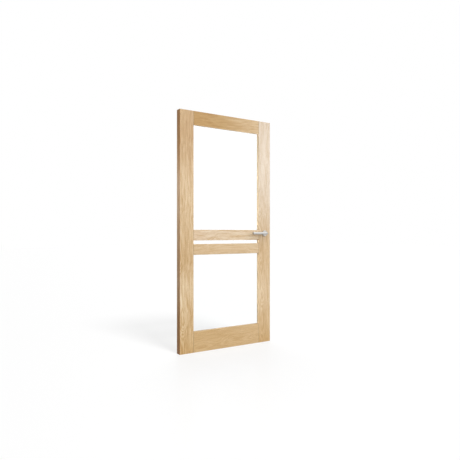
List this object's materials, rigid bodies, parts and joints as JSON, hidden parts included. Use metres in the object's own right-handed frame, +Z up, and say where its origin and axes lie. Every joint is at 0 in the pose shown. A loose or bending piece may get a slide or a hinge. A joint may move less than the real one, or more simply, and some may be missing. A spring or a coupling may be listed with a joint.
{
  "type": "glazed interior door",
  "caption": "Oak stile-and-rail interior door leaf with clear panes over, between and under its middle rails, a round-bar lever on a round rose on each face and a sprung mortise latch.",
  "frame": {"origin": "middle of the leaf's bottom edge, half-way through its thickness", "axes": "+X across the leaf from the hinge edge to the lock edge, +Y through it from the front face to the back, +Z up"},
  "size_m": [0.9415, 0.1694, 2.015],
  "materials": {
    "oak": "clear matt lacquer over light oak veneer with straight fine grain",
    "beech": "bare turned beech",
    "clear_glass": "clear polished float glass",
    "seal": "matt tan glazing strip",
    "nylon": "moulded natural nylon",
    "satin_steel": "satin brushed stainless steel",
    "zinc": "bright zinc-plated steel",
    "spring_steel": "oiled spring steel"
  },
  "bodies": {
    "leaf": {"hinge_stile": "oak", "lock_stile": "oak", "bottom_rail": "oak", "lower_mid_rail": "oak", "upper_mid_rail": "oak", "top_rail": "oak", "rail_dowels": "beech", "lower_glass": "clear_glass", "slot_glass": "clear_glass", "upper_glass": "clear_glass", "lower_front_seal": "seal", "lower_back_seal": "seal", "slot_front_seal": "seal", "slot_back_seal": "seal", "upper_front_seal": "seal", "upper_back_seal": "seal", "setting_blocks": "nylon", "lower_bead_bottom": "oak", "lower_bead_top": "oak", "lower_bead_left": "oak", "lower_bead_right": "oak", "slot_bead_bottom": "oak", "slot_bead_top": "oak", "slot_bead_left": "oak", "slot_bead_right": "oak", "upper_bead_bottom": "oak", "upper_bead_top": "oak", "upper_bead_left": "oak", "upper_bead_right": "oak", "bead_pins": "zinc", "lock_faceplate": "satin_steel", "faceplate_screws": "zinc", "lock_case": "zinc", "lock_cover": "zinc", "cover_screws": "zinc", "latch_spring": "spring_steel", "return_spring": "spring_steel", "front_lever_bush": "nylon", "back_lever_bush": "nylon", "front_rose_base": "nylon", "back_rose_base": "nylon", "front_rose_cover": "satin_steel", "back_rose_cover": "satin_steel", "front_rose_screws": "zinc", "back_rose_screws": "zinc"},
    "lever_set": {"front_lever": "satin_steel", "back_lever": "satin_steel", "spindle": "zinc", "follower": "zinc", "front_grub_screw": "spring_steel", "back_grub_screw": "spring_steel", "front_circlip": "spring_steel", "back_circlip": "spring_steel"},
    "latch": {"latch_bolt": "satin_steel"}
  },
  "joints": [
    {"name": "lever_turn", "type": "hinge", "parent": "leaf", "child": "lever_set", "pos_m": [0.4, 0, 0.995], "axis": [0, -1, 0], "range_deg": [0, 35], "stiffness_Nm_per_rad": 1, "springref_deg": -68.75, "deforming": ["return_spring"]},
    {"name": "latch_slide", "type": "slide", "parent": "leaf", "child": "latch", "axis": [-1, 0, 0], "range_m": [0, 0.0125], "deforming": ["latch_spring"]}
  ],
  "couplings": [
    {"joint": "latch_slide", "follows": "lever_turn", "m_per_rad": 0.02}
  ]
}
